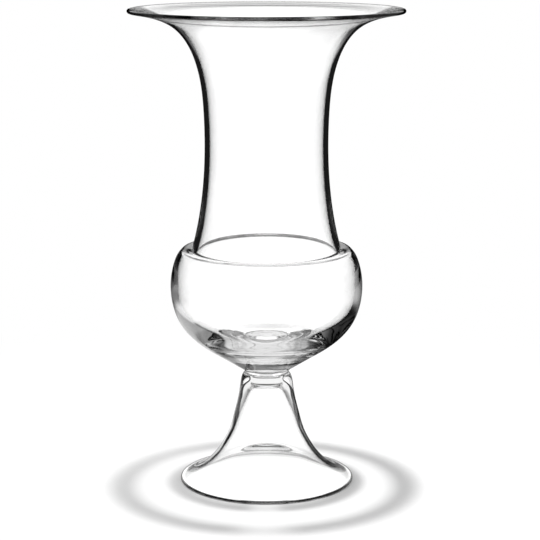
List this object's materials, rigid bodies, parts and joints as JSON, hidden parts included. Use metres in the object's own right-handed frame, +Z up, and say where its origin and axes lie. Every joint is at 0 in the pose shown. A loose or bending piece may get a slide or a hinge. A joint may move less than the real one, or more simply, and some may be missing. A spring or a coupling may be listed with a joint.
{
  "type": "hyacinth forcing vase",
  "caption": "Footed clear glass vase with a trumpet neck that holds a hyacinth bulb over water in a squat bowl on a hollow bell foot.",
  "frame": {"origin": "on the vase's axis, in the plane of the ground ring under the foot", "axes": "+Z up along the vase's axis, X and Y level"},
  "size_m": [0.1368, 0.1368, 0.24],
  "materials": {
    "clear_glass_neck": "fire-polished clear blown glass",
    "clear_glass_bowl": "fire-polished clear blown glass",
    "clear_glass_button": "fire-polished clear glass",
    "clear_glass_foot": "fire-polished clear blown glass"
  },
  "bodies": {
    "root": {"trumpet_neck": "clear_glass_neck", "bowl": "clear_glass_bowl", "stem_button": "clear_glass_button", "foot": "clear_glass_foot"}
  },
  "joints": []
}
